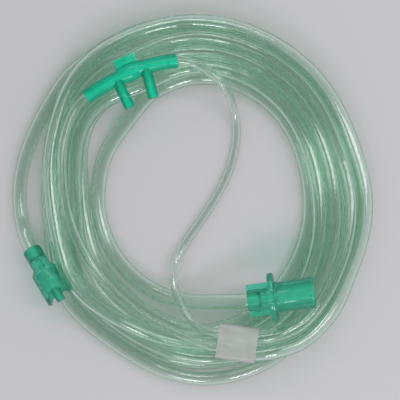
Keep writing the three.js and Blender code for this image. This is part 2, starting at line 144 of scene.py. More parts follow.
def around(degrees, radius, height):
    """A place on the coil's plan, by angle clockwise from the right and by radius."""
    turn = math.radians(-degrees)
    return np.array((
        COIL_MIDDLE.x + radius * math.cos(turn),
        COIL_MIDDLE.y + radius * math.sin(turn),
        height,
    ))


def facing(turn, pitch):
    """The direction of a fitting that is turned and tipped by these degrees."""
    turn, pitch = math.radians(turn), math.radians(pitch)
    return np.array((
        math.cos(pitch) * math.cos(turn), math.cos(pitch) * math.sin(turn), math.sin(pitch)
    ))


def on_coil(x, y, z):
    return np.array((COIL_MIDDLE.x + x, COIL_MIDDLE.y + y, z))


# Where the fittings lie, as the frame has them.
JUNCTION_PLACE = on_coil(0.0198, -0.0639, 0.0179)
JUNCTION_TURN = -8.5
JUNCTION_LENGTH = 0.0174
LINE_PITCH = 0.0070
SOCKET_DEPTH = 0.0050
TUBE_GAP = 0.0006
SOCKET_FLOOR = 0.0001
FLANGED_PLACE = on_coil(0.0356, -0.0439, 0.0194)
FLANGED_TURN, FLANGED_PITCH = 8.0, 6.0
FLANGE_THICKNESS = 0.0023
GRIP_LENGTH = 0.0100
LOCKING_PLACE = on_coil(-0.0718, -0.0229, 0.0074)
LOCKING_TURN, LOCKING_PITCH = -57.7, 15.5

junction_forward = facing(JUNCTION_TURN, 0)
junction_side = facing(JUNCTION_TURN + 90, 0)
flanged_forward = facing(FLANGED_TURN, FLANGED_PITCH)
locking_forward = facing(LOCKING_TURN, LOCKING_PITCH)


def junction_place(x, y):
    return JUNCTION_PLACE + junction_forward * x + junction_side * y


def rounded(values, rounds):
    """The same run of numbers with its corners eased."""
    values = np.array(values, float)
    for _ in range(rounds):
        values[1:-1] += 0.25 * (values[:-2] + values[2:] - 2 * values[1:-1])
    return values


def turns(start, stop, lane):
    """Places along a winding. Its lane says how far out in the band it lies, from 0 to 1, and how high."""
    swept = np.arange(start, stop, TURN_STEP)
    angles = (WINDING_START - swept) % 360
    keys, shares, heights = np.array(lane, float).T
    inner = np.interp(angles, band[:, 0], band[:, 1]) + EDGE
    outer = np.interp(angles, band[:, 0], band[:, 2]) - EDGE
    radii = rounded(inner + np.interp(swept, keys, shares) * (outer - inner), 8)
    highs = rounded(np.interp(swept, keys, heights), 12)
    return [around(a, r, h / 1000) for a, r, h in zip(angles, radii, highs)]


nosepiece_left = on_coil(-0.0469, 0.0445, 0.0169)
nosepiece_left_in = on_coil(-0.0398, 0.0489, 0.0169)
nosepiece_right = on_coil(-0.0065, 0.0606, 0.0169)
nosepiece_right_in = on_coil(-0.0142, 0.0594, 0.0169)


def socket_run(mouth, inside):
    """The two ends of the straight stretch in a thin-tube socket."""
    way = (inside - mouth) / np.linalg.norm(inside - mouth)
    return [mouth + way * (SOCKET_DEPTH - TUBE_GAP), mouth - way * LEAD]


LEFT_ROUTE = (
    (-0.0520, 0.0386, 0.0174), (-0.0554, 0.0306, 0.0194), (-0.0570, 0.0210, 0.0209),
    (-0.0572, 0.0110, 0.0216), (-0.0563, 0.0010, 0.0217), (-0.0542, -0.0090, 0.0211),
    (-0.0506, -0.0186, 0.0196), (-0.0458, -0.0276, 0.0178), (-0.0396, -0.0362, 0.0166),
    (-0.0320, -0.0444, 0.0158), (-0.0234, -0.0510, 0.0156), (-0.0140, -0.0564, 0.0156),
    (-0.0046, -0.0606, 0.0158), (0.0030, -0.0636, 0.0168),
)
RIGHT_ROUTE = (
    (0.0016, 0.0594, 0.0164), (0.0076, 0.0560, 0.0159), (0.0126, 0.0516, 0.0152),
    (0.0164, 0.0460, 0.0112), (0.0189, 0.0395, 0.0056), (0.0200, 0.0320, 0.0026),
    (0.0196, 0.0240, 0.0023), (0.0174, 0.0145, 0.0023), (0.0136, 0.0056, 0.0023),
    (0.0084, -0.0034, 0.0023), (0.0026, -0.0120, 0.0023), (-0.0032, -0.0202, 0.0024),
    (-0.0070, -0.0280, 0.0038), (-0.0086, -0.0360, 0.0078), (-0.0070, -0.0440, 0.0104),
    (-0.0034, -0.0504, 0.0118), (0.0012, -0.0560, 0.0146), (0.0058, -0.0592, 0.0170),
)


def junction_run(side, line_end):
    """The straight stretch in one of the junction's sockets, from inside out."""
    half = JUNCTION_LENGTH / 2
    sign = 1 if line_end else -1
    inside = half - SOCKET_DEPTH + TUBE_GAP
    return [junction_place(sign * inside, side), junction_place(sign * (half + LEAD), side)]


thin_left_places = (
    socket_run(nosepiece_left, nosepiece_left_in)
    + [on_coil(*p) for p in LEFT_ROUTE]
    + junction_run(-LINE_PITCH / 2, False)[::-1]
)
thin_right_places = (
    socket_run(nosepiece_right, nosepiece_right_in)
    + [on_coil(*p) for p in RIGHT_ROUTE]
    + junction_run(LINE_PITCH / 2, False)[::-1]
)

# How the turns were wound: degrees gone round, share of the band's width from inside, height in mm.
OXYGEN_LANE = (
    (33, 0.97, 10.7), (60, 1.0, 10.0), (150, 0.95, 10.0), (177, 0.95, 13.0), (240, 1.0, 16.0),
    (265, 1.0, 16.0), (300, 0.5, 16.0), (330, 0.16, 10.0), (375, 0.38, 9.8), (420, 0.15, 9.8),
    (510, 0.14, 9.8), (600, 0.10, 9.6), (650, 0.2, 7.0), (690, 0.32, 3.5), (780, 0.30, 3.5),
    (870, 0.29, 3.5), (960, 0.0, 3.5), (1250, 0.0, 3.5),
)
SAMPLING_LANE = (
    (33, 0.74, 10.4), (60, 0.74, 9.8), (150, 0.71, 9.8), (177, 0.6, 12.5), (240, 0.45, 15.0),
    (265, 0.45, 13.0), (300, 0.5, 9.6), (330, 0.49, 9.4), (375, 0.72, 9.4), (420, 0.45, 9.4),
    (510, 0.43, 9.4), (600, 0.95, 9.0), (650, 0.8, 6.0), (690, 0.65, 3.1), (780, 0.60, 3.1),
    (870, 0.58, 3.1), (960, 0.98, 3.1), (1050, 1.0, 3.1), (1140, 0.98, 3.1), (1250, 1.0, 3.1),
)

oxygen_places = (
    junction_run(-LINE_PITCH / 2, True)
    + [around(59.5, 0.0776, 0.0178), around(52.5, 0.0800, 0.0156), around(45, 0.0800, 0.0126),
       around(37, 0.0792, 0.0109)]
    + turns(36, 1256, OXYGEN_LANE)
    + [around(215, 0.0450, 0.0035), around(200, 0.0442, 0.0035),
       around(185, 0.0436, 0.0035), around(170, 0.0436, 0.0035), around(155, 0.0438, 0.0035),
       around(140, 0.0442, 0.0035), around(125, 0.0448, 0.0035), around(110, 0.0456, 0.0035),
       around(97, 0.0462, 0.0046), around(86, 0.0466, 0.0082), around(75, 0.0476, 0.0134),
       FLANGED_PLACE - flanged_forward * (FLANGE_THICKNESS / 2 + GRIP_LENGTH + GRIP_LEAD),
       FLANGED_PLACE - flanged_forward * (FLANGE_THICKNESS / 2 + GRIP_LENGTH - SOCKET_DEPTH - PUSH_IN)]
)
sampling_places = (
    junction_run(LINE_PITCH / 2, True)
    + [around(57, 0.0716, 0.0172), around(49.5, 0.0736, 0.0148), around(42, 0.0730, 0.0116),
       around(34, 0.0722, 0.0106)]
    + turns(36, 1262, SAMPLING_LANE)
    + [around(225.5, 0.0772, 0.0031), around(218, 0.0764, 0.0031), around(208, 0.0760, 0.0031),
       around(198, 0.0766, 0.0031), around(188, 0.0774, 0.0031), around(178, 0.0776, 0.0031),
       around(170, 0.0770, 0.0036),
       LOCKING_PLACE - locking_forward * LEAD,
       LOCKING_PLACE + locking_forward * (SOCKET_DEPTH + PUSH_IN)]
)


def evenly(places, step):
    """The same way again in equal steps, on a smooth curve through the places."""
    p = np.array(places)
    p = np.vstack([2 * p[0] - p[1], p, 2 * p[-1] - p[-2]])
    fine = []
    for a, b, c, d in zip(p[:-3], p[1:-2], p[2:-1], p[3:]):
        for t in np.linspace(0, 1, 12, endpoint=False):
            fine.append(0.5 * (2 * b + (c - a) * t + (2 * a - 5 * b + 4 * c - d) * t**2
                               + (3 * b - a - 3 * c + d) * t**3))
    fine.append(p[-2])
    fine = np.array(fine)
    gone = np.concatenate([[0], np.cumsum(np.linalg.norm(np.diff(fine, axis=0), axis=1))])
    at = np.linspace(0, gone[-1], max(2, int(round(gone[-1] / step)) + 1))
    return np.stack([np.interp(at, gone, fine[:, k]) for k in range(3)], axis=1)


SETTLE_STEPS = 260
EASE_STEPS = 70
FALL = 0.00012
HOLD = 0.03
BENDING = 80.0
HELD_BEADS = 3
NEIGHBOURS = 4
LOOK_AGAIN = 6
NEARBY = 0.004
PUSHES = 3
TUBE_GIVES = 0.4
FITTING_GIVES = 0.6
TINY = 1e-9


def springing(count):
    """How a stiff tube spreads a push along itself, with its ends held in their sockets."""
    curl = np.diff(np.eye(count), 2, axis=0)
    free = slice(HELD_BEADS, count - HELD_BEADS)
    return np.linalg.inv((np.eye(count) + BENDING * curl.T @ curl)[free, free])


def settle(ropes, radii, blocks):
    """Lets the tubes fall on the table and on each other, as rows of beads joined by a stiff wall."""
    counts = [len(r) for r in ropes]
    starts = np.concatenate([[0], np.cumsum(counts)])
    aim = np.vstack(ropes)
    drift = np.zeros_like(aim)
    radius = np.concatenate([np.full(n, r) for n, r in zip(counts, radii)])
    owner = np.repeat(np.arange(len(ropes)), counts)
    order = np.arange(len(aim))
    spread = [springing(n) for n in counts]
    free = [slice(a + HELD_BEADS, b - HELD_BEADS) for a, b in zip(starts[:-1], starts[1:])]
    block_place = np.array([b[0] for b in blocks])
    block_radius = np.array([b[1] for b in blocks])
    for step in range(SETTLE_STEPS):
        drift[:, 2] -= FALL if step < SETTLE_STEPS - EASE_STEPS else 0
        drift[:, :2] *= 1 - HOLD
        place = aim + drift
        if step % LOOK_AGAIN == 0:
            gap = np.linalg.norm(place[:, None] - place[None], axis=2) - radius[:, None] - radius[None]
            apart = (owner[:, None] != owner[None]) | (np.abs(order[:, None] - order[None]) > NEIGHBOURS)
            near, far = np.nonzero(np.triu((gap < NEARBY) & apart))
            reach = np.linalg.norm(place[:, None] - block_place[None], axis=2)
            bead, lump = np.nonzero(reach < radius[:, None] + block_radius[None] + NEARBY)
        for _ in range(PUSHES):
            place = aim + drift
            away = place[near] - place[far]
            long = np.maximum(np.linalg.norm(away, axis=1), TINY)
            deep = np.maximum(radius[near] + radius[far] - long, 0)[:, None]
            push = deep * away / long[:, None] * TUBE_GIVES
            np.add.at(drift, near, push)
            np.add.at(drift, far, -push)
            away = place[bead] - block_place[lump]
            long = np.maximum(np.linalg.norm(away, axis=1), TINY)
            deep = np.maximum(radius[bead] + block_radius[lump] - long, 0)[:, None]
            push = deep * away / long[:, None]
            np.add.at(drift, bead, push * FITTING_GIVES)
            drift[:, 2] = np.maximum(drift[:, 2], radius - aim[:, 2])
        for part, matrix, a, b in zip(free, spread, starts[:-1], starts[1:]):
            drift[part] = matrix @ drift[part]
            drift[a:a + HELD_BEADS] = 0
            drift[b - HELD_BEADS:b] = 0
    place = aim + drift
    place[:, 2] = np.maximum(place[:, 2], radius)
    return [place[a:b] for a, b in zip(starts[:-1], starts[1:])]


def smoothed(line, rounds):
    line = line.copy()
    for _ in range(rounds):
        line[1:-1] += 0.25 * (line[:-2] + line[2:] - 2 * line[1:-1])
    return line


def lumps(place, forward, start, stop, radius, step=0.003):
    """A row of round lumps, which stands for a fitting that the tubes rest against."""
    return [(place + forward * s, radius) for s in np.arange(start, stop, step)]


BARREL_RADIUS = 0.0068
COLLAR_RADIUS = 0.0061
BLOCK_RADIUS = 0.0044
BLOCK_SIDE = 0.0034
ARM_LUMP = 0.0034
ARM_BOW = 0.0035
RIM_LUMPS = 24
RIM_PLACE = 0.0098
RIM_LUMP = 0.0012
fittings = (
    lumps(FLANGED_PLACE, flanged_forward, 0.004, 0.0185, BARREL_RADIUS)
    + lumps(LOCKING_PLACE, locking_forward, 0.016, 0.026, COLLAR_RADIUS)
    + lumps(JUNCTION_PLACE, junction_forward, -0.0060, 0.0061, BLOCK_RADIUS)
    + [(junction_place(x, y), BLOCK_RADIUS) for x in (-0.006, -0.002, 0.002, 0.006)
       for y in (-BLOCK_SIDE, BLOCK_SIDE)]
    + [(nosepiece_left + (nosepiece_right - nosepiece_left) * t
        + np.array((0, ARM_BOW * 4 * t * (1 - t), 0)), ARM_LUMP) for t in np.linspace(0.0, 1.0, 13)]
)
flange_across = facing(FLANGED_TURN + 90, 0)
flange_up = np.cross(flanged_forward, flange_across)
for k in range(RIM_LUMPS):
    turn = 2 * math.pi * k / RIM_LUMPS
    rim = FLANGED_PLACE + (flange_across * math.cos(turn) + flange_up * math.sin(turn)) * RIM_PLACE
    fittings.append((rim, RIM_LUMP))

RING_SPACING = 0.0022
ropes = [evenly(p, BEAD) for p in (oxygen_places, sampling_places, thin_left_places, thin_right_places)]
radii = [SUPPLY_OD / 2, SAMPLING_OD / 2, THIN_OD / 2, THIN_OD / 2]
oxygen_line_path, sampling_line_path, thin_left_path, thin_right_path = [
    evenly(smoothed(line, 2), RING_SPACING) for line in settle(ropes, radii, fittings)
]


def hollow_tube(name, path, outside, bore, sides, material):
    """An extruded tube along a path: an outer wall, a bore, and a cut face at each end."""
    path = np.array(path)
    way = np.gradient(path, axis=0)
    way /= np.linalg.norm(way, axis=1)[:, None]
    across = np.cross(way[0], (0.0, 0.0, 1.0))
    across /= np.linalg.norm(across)
    frames = []
    for direction in way:
        across = across - direction * np.dot(across, direction)
        across /= np.linalg.norm(across)
        frames.append((across.copy(), np.cross(direction, across)))
    spin = 2 * np.pi * np.arange(sides) / sides
    rings = []
    for radius in (outside / 2, bore / 2):
        for middle, (u, v) in zip(path, frames):
            rings.append(middle + radius * (np.cos(spin)[:, None] * u + np.sin(spin)[:, None] * v))
    points = np.vstack(rings)
    count = len(path)
    faces = []
    for k in range(count - 1):
        for s in range(sides):
            t = (s + 1) % sides
            a, b, c, d = k * sides + s, k * sides + t, (k + 1) * sides + t, (k + 1) * sides + s
            faces.append((a, b, c, d))
            shift = count * sides
            faces.append((shift + a, shift + d, shift + c, shift + b))
    for s in range(sides):
        t = (s + 1) % sides
        shift = count * sides
        faces.append((s, shift + s, shift + t, t))
        last = (count - 1) * sides
        faces.append((last + s, last + t, shift + last + t, shift + last + s))
    mesh = bpy.data.meshes.new(name)
    mesh.from_pydata([tuple(p) for p in points], [], faces)
    mesh.materials.append(material)
    mesh.polygons.foreach_set("use_smooth", [True] * len(mesh.polygons))
    mesh.validate()
    tube = bpy.data.objects.new(name, mesh)
    bpy.context.collection.objects.link(tube)
    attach(tube, "root")
    return tube


WAVE_SCALE = 90.0
WAVE_DEPTH = 0.0004
WAVE_GLOSS = (0.6, 1.4)


def clear_vinyl(name, taken, roughness, bump, shade):
    """Soft clear vinyl: a stained see-through wall with a faint waviness from the extruder.
    taken is what a metre of it takes from red, green and blue light, as exponents."""
    material = bpy.data.materials.new(name)
    material.use_nodes = True
    tree = material.node_tree
    surface = tree.nodes["Principled BSDF"]
    surface.inputs["Base Color"].default_value = (1, 1, 1, 1)
    surface.inputs["Transmission Weight"].default_value = 1.0
    surface.inputs["IOR"].default_value = 1.5
    where = tree.nodes.new("ShaderNodeTexCoord")
    noise = tree.nodes.new("ShaderNodeTexNoise")
    noise.inputs["Scale"].default_value = WAVE_SCALE
    noise.inputs["Detail"].default_value = 3.0
    tree.links.new(where.outputs["Object"], noise.inputs["Vector"])
    spread = tree.nodes.new("ShaderNodeMapRange")
    spread.inputs["To Min"].default_value = roughness * WAVE_GLOSS[0]
    spread.inputs["To Max"].default_value = roughness * WAVE_GLOSS[1]
    tree.links.new(noise.outputs["Fac"], spread.inputs["Value"])
    tree.links.new(spread.outputs["Result"], surface.inputs["Roughness"])
    relief = tree.nodes.new("ShaderNodeBump")
    relief.inputs["Strength"].default_value = bump
    relief.inputs["Distance"].default_value = WAVE_DEPTH
    tree.links.new(noise.outputs["Fac"], relief.inputs["Height"])
    tree.links.new(relief.outputs["Normal"], surface.inputs["Normal"])
    stain = tree.nodes.new("ShaderNodeVolumeAbsorption")
    most = max(taken) * 1.02
    stain.inputs["Color"].default_value = (*[1 - t / most for t in taken], 1)
    stain.inputs["Density"].default_value = most
    tree.links.new(stain.outputs["Volume"], tree.nodes["Material Output"].inputs["Volume"])
    light_path = tree.nodes.new("ShaderNodeLightPath")
    see_through = tree.nodes.new("ShaderNodeBsdfTransparent")
    see_through.inputs["Color"].default_value = (*shade, 1)
    choice = tree.nodes.new("ShaderNodeMixShader")
    tree.links.new(light_path.outputs["Is Shadow Ray"], choice.inputs["Fac"])
    tree.links.new(surface.outputs["BSDF"], choice.inputs[1])
    tree.links.new(see_through.outputs["BSDF"], choice.inputs[2])
    tree.links.new(choice.outputs["Shader"], tree.nodes["Material Output"].inputs["Surface"])
    return material


SHADOW_TINT = (0.93, 0.94, 0.93)
LINE_SIDES = 24
line_vinyl = clear_vinyl("line_vinyl", (76, 14, 46), 0.06, 0.02, SHADOW_TINT)
oxygen_line = hollow_tube(
    "oxygen_line", oxygen_line_path, SUPPLY_OD, SUPPLY_BORE, LINE_SIDES, line_vinyl
)
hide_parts("coiled_tubing", "oxygen_line_start", "oxygen_line_end")


# Sampling line: a slightly thinner clear vinyl tube that is wound together with the oxygen line.
# Extruded in one length, and pushed and glued into the junction and the locking connector's stem.
sampling_line = hollow_tube(
    "sampling_line", sampling_line_path, SAMPLING_OD, SAMPLING_BORE, LINE_SIDES, line_vinyl
)
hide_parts("coiled_tubing", "sampling_line_start", "sampling_line_end")


# Thin tube on the left: soft clear vinyl, limp enough to go behind the ear.
# Glued into the nosepiece's left end and into the junction.
THIN_SIDES = 18
thin_vinyl = clear_vinyl("thin_vinyl", (62, 14, 40), 0.06, 0.02, SHADOW_TINT)
thin_left = hollow_tube(
    "thin_tube_to_left", thin_left_path, THIN_OD, THIN_BORE, THIN_SIDES, thin_vinyl
)
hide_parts("thin_tube_left")


# Thin tube on the right: the same soft vinyl, in a loose S across the coil's opening.
# Glued into the nosepiece's right end and into the junction.
thin_right = hollow_tube(
    "thin_tube_to_right", thin_right_path, THIN_OD, THIN_BORE, THIN_SIDES, thin_vinyl
)
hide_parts("thin_tube_right")


# Flanged connector: one hard moulded piece of clear green plastic that pushes on to an oxygen outlet.
# Its grip with two flat wings holds the oxygen line, a round flange stops the fingers, and the
# barrel beyond it is open at the mouth.
FLANGE_OD = 0.0220
BARREL_OD = 0.0136
BARREL_BORE = 0.0108
BARREL_LENGTH = 0.0172
GRIP_WALL = 0.0010
FIT = 0.0003
WING_SPAN = 0.0144
WING_THICKNESS = 0.0024
FLANGED_AIRWAY = 0.0044
MOUTH_LIP = 0.00025
LIP_START = 0.0014
LIP_FULL = 0.0010
EDGE_EASE = 0.0004
ROOT_EASE = 0.0008
BARREL_ROOT = 0.0009
FLANGE_FLOOR = 0.0006
BORE_DRAFT = 0.0003
WING_ROOT = 0.0002
SOCKET_RELIEF = 0.0011
PAST = 0.001
EDGE_ROUNDING = 0.00025
TURNED_SIDES = 72


def mesh_object(name, shape):
    """A new object from a bmesh, with its doubles merged and its faces outwards."""
    bmesh.ops.remove_doubles(shape, verts=shape.verts, dist=1e-6)
    bmesh.ops.recalc_face_normals(shape, faces=shape.faces)
    mesh = bpy.data.meshes.new(name)
    shape.to_mesh(mesh)
    shape.free()
    piece = bpy.data.objects.new(name, mesh)
    bpy.context.collection.objects.link(piece)
    return piece


def turned(name, profile, sides=TURNED_SIDES):
    """A solid turned round the X axis. The profile's points are (along, radius), from axis to axis."""
    shape = bmesh.new()
    rings = []
    for along, radius in profile:
        if radius < 1e-7:
            rings.append([shape.verts.new((along, 0, 0))] * sides)
            continue
        rings.append([
            shape.verts.new((along, radius * math.cos(2 * math.pi * k / sides),
                             radius * math.sin(2 * math.pi * k / sides)))
            for k in range(sides)
        ])
    for ring, following in zip(rings[:-1], rings[1:]):
        for k in range(sides):
            corners = (ring[k], ring[(k + 1) % sides], following[(k + 1) % sides], following[k])
            shape.faces.new(list(dict.fromkeys(corners)))
    return mesh_object(name, shape)


def rod(diameter, start, stop, sides=TURNED_SIDES):
    return turned("rod", [(start, 0), (start, diameter / 2), (stop, diameter / 2), (stop, 0)], sides)


def bar(size, middle):
    """A plain bar, by its three sides and its middle."""
    shape = bmesh.new()
    bmesh.ops.create_cube(shape, size=1.0)
    bmesh.ops.scale(shape, vec=size, verts=shape.verts)
    bmesh.ops.translate(shape, vec=middle, verts=shape.verts)
    return mesh_object("bar", shape)


def baked(piece):
    """The piece with its modifiers made part of its mesh."""
    done = bpy.data.meshes.new_from_object(piece.evaluated_get(bpy.context.evaluated_depsgraph_get()))
    piece.modifiers.clear()
    piece.data = done
    return piece


def shaped(piece, how, *tools):
    """Joins tools to the piece or cuts them out of it, and deletes them."""
    for tool in tools:
        step = piece.modifiers.new("step", "BOOLEAN")
        step.operation = how
        step.solver = "EXACT"
        step.object = tool
        baked(piece)
        bpy.data.objects.remove(tool)
    return piece


def moved(piece, place, turn, pitch):
    turning = Matrix.Rotation(math.radians(turn), 4, "Z") @ Matrix.Rotation(math.radians(-pitch), 4, "Y")
    piece.data.transform(Matrix.Translation(Vector(place)) @ turning)
    return piece


def moulding(piece, name, node, material, rounding=EDGE_ROUNDING, sharp=35):
    """Gives a fitting its eased edges and its finish, in place of its plain solid."""
    piece.name = name
    ease = piece.modifiers.new("ease", "BEVEL")
    ease.width = rounding
    ease.segments = 2
    ease.limit_method = "ANGLE"
    ease.angle_limit = math.radians(sharp)
    ease.use_clamp_overlap = True
    baked(piece)
    piece.data.materials.clear()
    piece.data.materials.append(material)
    piece.data.polygons.foreach_set("material_index", [0] * len(piece.data.polygons))
    piece.data.polygons.foreach_set("use_smooth", [True] * len(piece.data.polygons))
    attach(piece, "root")
    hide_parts(node)
    return piece


CLOUD_SCALE = 160.0
CLOUD_TONES = (0.86, 1.14)
CLOUD_GLOSS = (0.7, 1.3)
# Painted shade at the outline: how wide a band it takes, and how dark it makes the colour.
PAINTED_EDGE_SHADE_WIDTH = 0.28
PAINTED_EDGE_SHADE_TONE = 0.10


def tinted_plastic(name, colour, clear, bend, roughness, shade):
    """Moulded see-through plastic: part of the light passes, and part comes back from the stain in it. Its
    colour is also darkened towards the outline, as painted shade for the dark edges that bending light gives.
    """
    material = bpy.data.materials.new(name)
    material.use_nodes = True
    tree = material.node_tree
    surface = tree.nodes["Principled BSDF"]
    surface.inputs["Transmission Weight"].default_value = clear
    surface.inputs["IOR"].default_value = bend
    where = tree.nodes.new("ShaderNodeTexCoord")
    clouds = tree.nodes.new("ShaderNodeTexNoise")
    clouds.inputs["Scale"].default_value = CLOUD_SCALE
    clouds.inputs["Detail"].default_value = 4.0
    tree.links.new(where.outputs["Object"], clouds.inputs["Vector"])
    tones = tree.nodes.new("ShaderNodeMix")
    tones.data_type = "RGBA"
    tones.inputs[6].default_value = (*[c * CLOUD_TONES[0] for c in colour], 1)
    tones.inputs[7].default_value = (*[min(1, c * CLOUD_TONES[1]) for c in colour], 1)
    tree.links.new(clouds.outputs["Fac"], tones.inputs[0])
    # Painted shade: the base colour darkens towards the outline in place of the darker edges that light
    # bending in clear plastic gives.
    painted_edge_shade_weight = tree.nodes.new("ShaderNodeLayerWeight")
    painted_edge_shade_weight.inputs["Blend"].default_value = PAINTED_EDGE_SHADE_WIDTH
    painted_edge_shade_mix = tree.nodes.new("ShaderNodeMix")
    painted_edge_shade_mix.data_type = "RGBA"
    painted_edge_shade_mix.inputs[7].default_value = (*[c * PAINTED_EDGE_SHADE_TONE for c in colour], 1)
    tree.links.new(painted_edge_shade_weight.outputs["Facing"], painted_edge_shade_mix.inputs[0])
    tree.links.new(tones.outputs[2], painted_edge_shade_mix.inputs[6])
    tree.links.new(painted_edge_shade_mix.outputs[2], surface.inputs["Base Color"])
    spread = tree.nodes.new("ShaderNodeMapRange")
    spread.inputs["To Min"].default_value = roughness * CLOUD_GLOSS[0]
    spread.inputs["To Max"].default_value = roughness * CLOUD_GLOSS[1]
    tree.links.new(clouds.outputs["Fac"], spread.inputs["Value"])
    tree.links.new(spread.outputs["Result"], surface.inputs["Roughness"])
    light_path = tree.nodes.new("ShaderNodeLightPath")
    see_through = tree.nodes.new("ShaderNodeBsdfTransparent")
    see_through.inputs["Color"].default_value = (*shade, 1)
    choice = tree.nodes.new("ShaderNodeMixShader")
    tree.links.new(light_path.outputs["Is Shadow Ray"], choice.inputs["Fac"])
    tree.links.new(surface.outputs["BSDF"], choice.inputs[1])
    tree.links.new(see_through.outputs["BSDF"], choice.inputs[2])
    tree.links.new(choice.outputs["Shader"], tree.nodes["Material Output"].inputs["Surface"])
    return material


fitting_green = tinted_plastic("fitting_green", (0.17, 0.82, 0.62), 0.82, 1.25, 0.12, (0.76, 0.93, 0.88))
grip_od = SUPPLY_OD + 2 * FIT + 2 * GRIP_WALL
grip_end = -FLANGE_THICKNESS / 2 - GRIP_LENGTH
face = FLANGE_THICKNESS / 2
barrel_end = face + BARREL_LENGTH
flanged = turned("flanged", [
    (grip_end, 0), (grip_end, grip_od / 2 - EDGE_EASE),
    (grip_end + ROOT_EASE, grip_od / 2), (-face, grip_od / 2),
    (-face, FLANGE_OD / 2), (face, FLANGE_OD / 2), (face, BARREL_OD / 2 + ROOT_EASE),
    (face + BARREL_ROOT, BARREL_OD / 2), (barrel_end - LIP_START, BARREL_OD / 2),
    (barrel_end - LIP_FULL, BARREL_OD / 2 + MOUTH_LIP),
    (barrel_end, BARREL_OD / 2 + MOUTH_LIP), (barrel_end, 0),
])
shaped(flanged, "UNION", bar((GRIP_LENGTH + WING_ROOT, WING_SPAN, WING_THICKNESS),
                             (-face - (GRIP_LENGTH - WING_ROOT) / 2, 0, 0)))
shaped(
    flanged, "DIFFERENCE",
    turned("bore", [(face + FLANGE_FLOOR, 0), (face + FLANGE_FLOOR, BARREL_BORE / 2 - BORE_DRAFT),
                    (barrel_end + PAST, BARREL_BORE / 2), (barrel_end + PAST, 0)]),
    rod(FLANGED_AIRWAY, grip_end - PAST, barrel_end),
    rod(SUPPLY_OD + 2 * FIT, grip_end - PAST, grip_end + SOCKET_DEPTH + SOCKET_RELIEF),
)
moved(flanged, FLANGED_PLACE, FLANGED_TURN, FLANGED_PITCH)
moulding(flanged, "oxygen_connector", "flanged_connector", fitting_green)


# Locking connector: one hard moulded piece of clear green plastic that twists on to a sampling port.
# The stem holds the sampling line, and the collar has two lugs round a tapered cone with a fine bore.
STEM_WALL = 0.0008
STEM_LENGTH = 0.0096
SHOULDER = 0.0024
COLLAR_OD = 0.0122
COLLAR_BORE = 0.0092
COLLAR_LENGTH = 0.0104
LUG_LENGTH = 0.0038
LUG_GAP = 0.0096
CONE_OD = 0.0044
CONE_TIP_OD = 0.0039
CONE_BORE = 0.0022
CONE_PROUD = 0.0010
THREAD_TURNS = 2
THREAD_DEPTH = 0.0004
THREAD_START = 0.0040
THREAD_PITCH = 0.0032
THREAD_PROFILE = (0.0006, 0.0014, 0.0020)
STEM_EASE = 0.0005
COLLAR_FLOOR = 0.0008

stem_od = SAMPLING_OD + 2 * FIT + 2 * STEM_WALL
collar_start = STEM_LENGTH + SHOULDER
lug_end = collar_start + COLLAR_LENGTH + LUG_LENGTH
locking = turned("locking", [
    (0, 0), (0, stem_od / 2 - STEM_EASE), (ROOT_EASE, stem_od / 2), (STEM_LENGTH, stem_od / 2),
    (collar_start, COLLAR_OD / 2), (lug_end, COLLAR_OD / 2), (lug_end, 0),
])
thread = [(collar_start + COLLAR_FLOOR, 0), (collar_start + COLLAR_FLOOR, COLLAR_BORE / 2)]
for k in range(THREAD_TURNS):
    groove = collar_start + THREAD_START + k * THREAD_PITCH
    deep_from, deep_to, groove_end = [groove + p for p in THREAD_PROFILE]
    thread += [(groove, COLLAR_BORE / 2), (deep_from, COLLAR_BORE / 2 + THREAD_DEPTH),
               (deep_to, COLLAR_BORE / 2 + THREAD_DEPTH), (groove_end, COLLAR_BORE / 2)]
thread += [(lug_end + PAST, COLLAR_BORE / 2), (lug_end + PAST, 0)]
mouth_radius = (LUG_GAP**2 / 4 + LUG_LENGTH**2) / (2 * LUG_LENGTH)
mouth = rod(2 * mouth_radius, -COLLAR_OD, COLLAR_OD)
mouth.data.transform(Matrix.Translation((lug_end - LUG_LENGTH + mouth_radius, 0, 0))
                     @ Matrix.Rotation(math.pi / 2, 4, "Y"))
shaped(locking, "DIFFERENCE", turned("hollow", thread), mouth)
shaped(locking, "UNION", turned("cone", [
    (STEM_LENGTH, 0), (STEM_LENGTH, CONE_OD / 2), (collar_start, CONE_OD / 2),
    (lug_end + CONE_PROUD, CONE_TIP_OD / 2), (lug_end + CONE_PROUD, 0),
], 40))
shaped(locking, "DIFFERENCE", rod(CONE_BORE, -PAST, lug_end + CONE_PROUD + PAST, 32),
       rod(SAMPLING_OD + 2 * FIT, -PAST, SOCKET_DEPTH + SOCKET_RELIEF))
moved(locking, LOCKING_PLACE, LOCKING_TURN, LOCKING_PITCH)
moulding(locking, "sampling_connector", "locking_connector", fitting_green)


# Junction: a rounded block of clear, slightly cloudy soft vinyl, moulded with two airways.
# The two thin tubes are glued into one end of it and the two lines into the other.
JUNCTION_WIDTH = 0.0156
JUNCTION_THICKNESS = 0.0088
JUNCTION_CORNER = 0.0032
JUNCTION_BORE = 0.0024
LINE_FIT = 0.0001
BLOCK_ROUNDING = 0.0004

